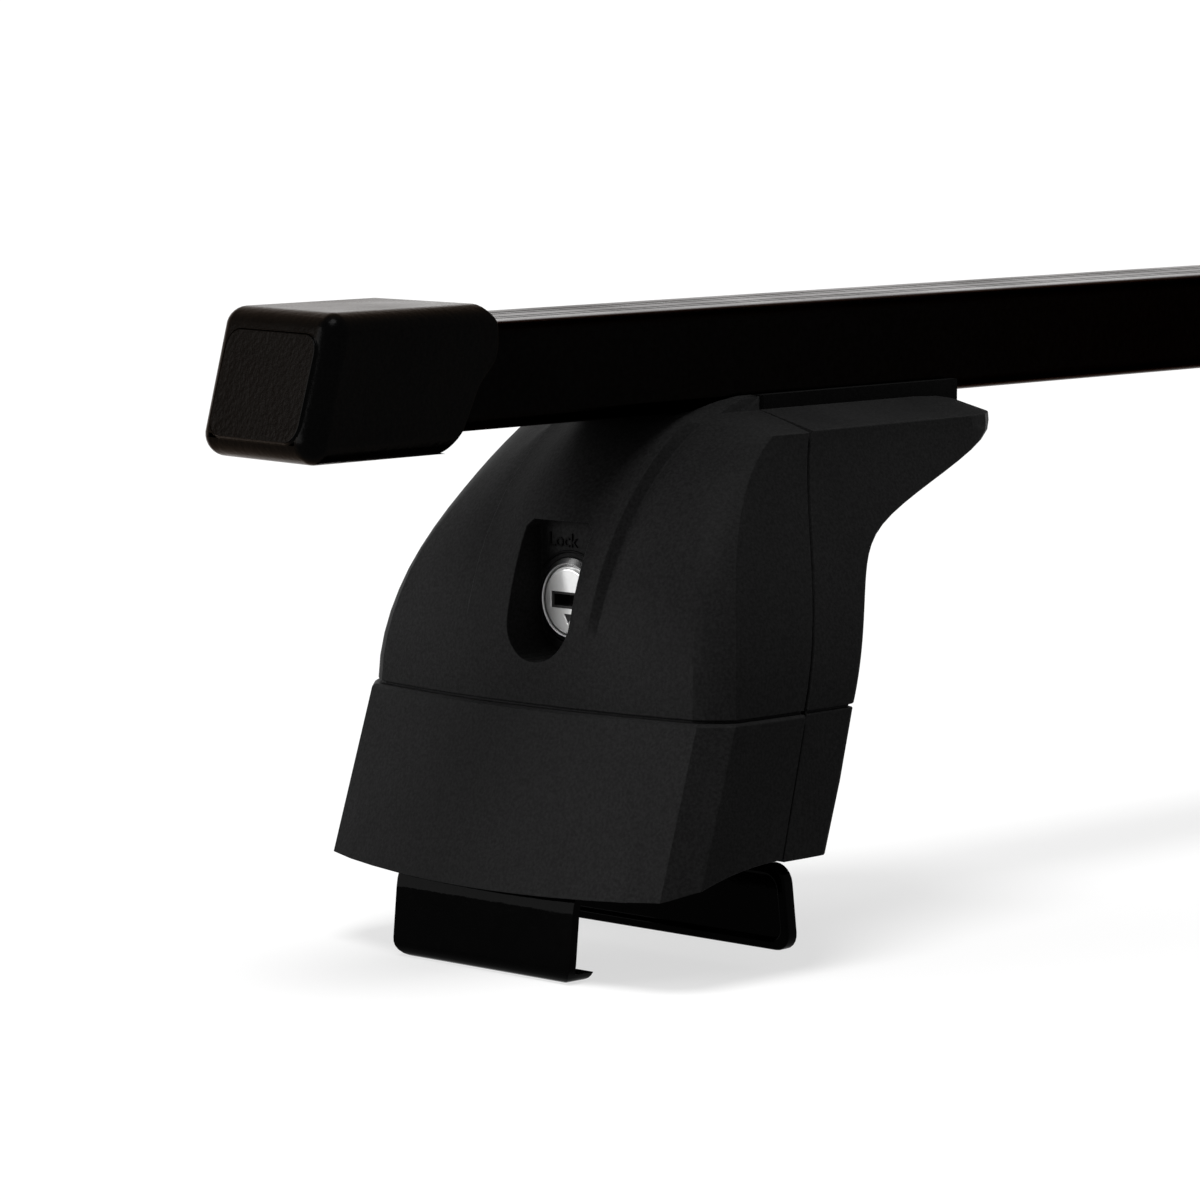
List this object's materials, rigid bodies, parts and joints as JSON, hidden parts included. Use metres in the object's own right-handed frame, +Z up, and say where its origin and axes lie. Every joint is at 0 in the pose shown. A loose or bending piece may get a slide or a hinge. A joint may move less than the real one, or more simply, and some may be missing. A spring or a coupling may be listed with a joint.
{
  "type": "roof rack",
  "caption": "Coated steel roof crossbar with moulded end caps on clamp feet with slide-off locking covers, hooked outer jaws and broad inner jaws that grip the edges of a car roof.",
  "frame": {"origin": "middle of the bar's length and width, on the plane under the outer hooks", "axes": "+X along the crossbar, +Y across it, +Z up"},
  "size_m": [1.226, 0.1076, 0.1408],
  "materials": {
    "bar_steel": "galvanised",
    "bar_sheath": "satin with grip grooves",
    "cap_plastic": "leather grain",
    "body_plastic": "fine spark grain",
    "cover_plastic": "fine spark grain",
    "frame_steel": "black electrocoat",
    "pad_rubber": "matte",
    "zinc_steel": "zinc plated",
    "jaw_paint": "gloss black powder coat",
    "lock_chrome": "polished",
    "lock_steel": "satin"
  },
  "bodies": {
    "crossbar": {"crossbar_tube": "bar_steel", "crossbar_sheath": "bar_sheath", "left_end_cap": "cap_plastic", "right_end_cap": "cap_plastic"},
    "left_foot": {"left_leg_body": "body_plastic", "left_leg_frame": "frame_steel", "left_body_screws": "zinc_steel", "left_bar_pad": "pad_rubber", "left_nut_plate": "zinc_steel", "left_bar_bolts": "zinc_steel", "left_bar_washers": "zinc_steel", "left_clamp_nut": "zinc_steel", "left_inner_jaw": "jaw_paint", "left_jaw_rivets": "zinc_steel"},
    "left_cover_part": {"left_cover": "cover_plastic", "left_lock_sleeve": "lock_chrome"},
    "left_lock": {"left_lock_plug": "lock_chrome", "left_lock_cam": "lock_steel"},
    "left_hook": {"left_outer_hook": "jaw_paint", "left_clamp_washer": "zinc_steel"},
    "left_bolt": {"left_clamp_bolt": "zinc_steel"},
    "right_foot": {"right_leg_body": "body_plastic", "right_leg_frame": "frame_steel", "right_body_screws": "zinc_steel", "right_bar_pad": "pad_rubber", "right_nut_plate": "zinc_steel", "right_bar_bolts": "zinc_steel", "right_bar_washers": "zinc_steel", "right_clamp_nut": "zinc_steel", "right_inner_jaw": "jaw_paint", "right_jaw_rivets": "zinc_steel"},
    "right_cover_part": {"right_cover": "cover_plastic", "right_lock_sleeve": "lock_chrome"},
    "right_lock": {"right_lock_plug": "lock_chrome", "right_lock_cam": "lock_steel"},
    "right_hook": {"right_outer_hook": "jaw_paint", "right_clamp_washer": "zinc_steel"},
    "right_bolt": {"right_clamp_bolt": "zinc_steel"}
  },
  "joints": [
    {"name": "left_foot_slide", "type": "slide", "parent": "crossbar", "child": "left_foot", "axis": [1, 0, 0], "range_m": [-0.015, 0.08]},
    {"name": "left_cover_slide", "type": "slide", "parent": "left_foot", "child": "left_cover_part", "axis": [-1, 0, 0], "range_m": [0, 0.045]},
    {"name": "left_lock_turn", "type": "hinge", "parent": "left_cover_part", "child": "left_lock", "pos_m": [-0.512, -0.004, 0.0763], "axis": [1, 0, 0], "range_deg": [0, 90]},
    {"name": "left_hook_slide", "type": "slide", "parent": "left_foot", "child": "left_hook", "axis": [1, 0, 0], "range_m": [0, 0.008]},
    {"name": "left_bolt_turn", "type": "hinge", "parent": "left_hook", "child": "left_bolt", "pos_m": [-0.532, 0, 0.0478], "axis": [1, 0, 0], "range_deg": [0, 2304]},
    {"name": "right_foot_slide", "type": "slide", "parent": "crossbar", "child": "right_foot", "axis": [-1, 0, 0], "range_m": [-0.015, 0.08]},
    {"name": "right_cover_slide", "type": "slide", "parent": "right_foot", "child": "right_cover_part", "axis": [1, 0, 0], "range_m": [0, 0.045]},
    {"name": "right_lock_turn", "type": "hinge", "parent": "right_cover_part", "child": "right_lock", "pos_m": [0.512, 0.004, 0.0763], "axis": [-1, 0, 0], "range_deg": [0, 90]},
    {"name": "right_hook_slide", "type": "slide", "parent": "right_foot", "child": "right_hook", "axis": [-1, 0, 0], "range_m": [0, 0.008]},
    {"name": "right_bolt_turn", "type": "hinge", "parent": "right_hook", "child": "right_bolt", "pos_m": [0.532, 0, 0.0478], "axis": [-1, 0, 0], "range_deg": [0, 2304]}
  ],
  "couplings": [
    {"joint": "left_bolt_turn", "follows": "left_hook_slide", "rad_per_m": 5026.5},
    {"joint": "right_bolt_turn", "follows": "right_hook_slide", "rad_per_m": 5026.5}
  ]
}
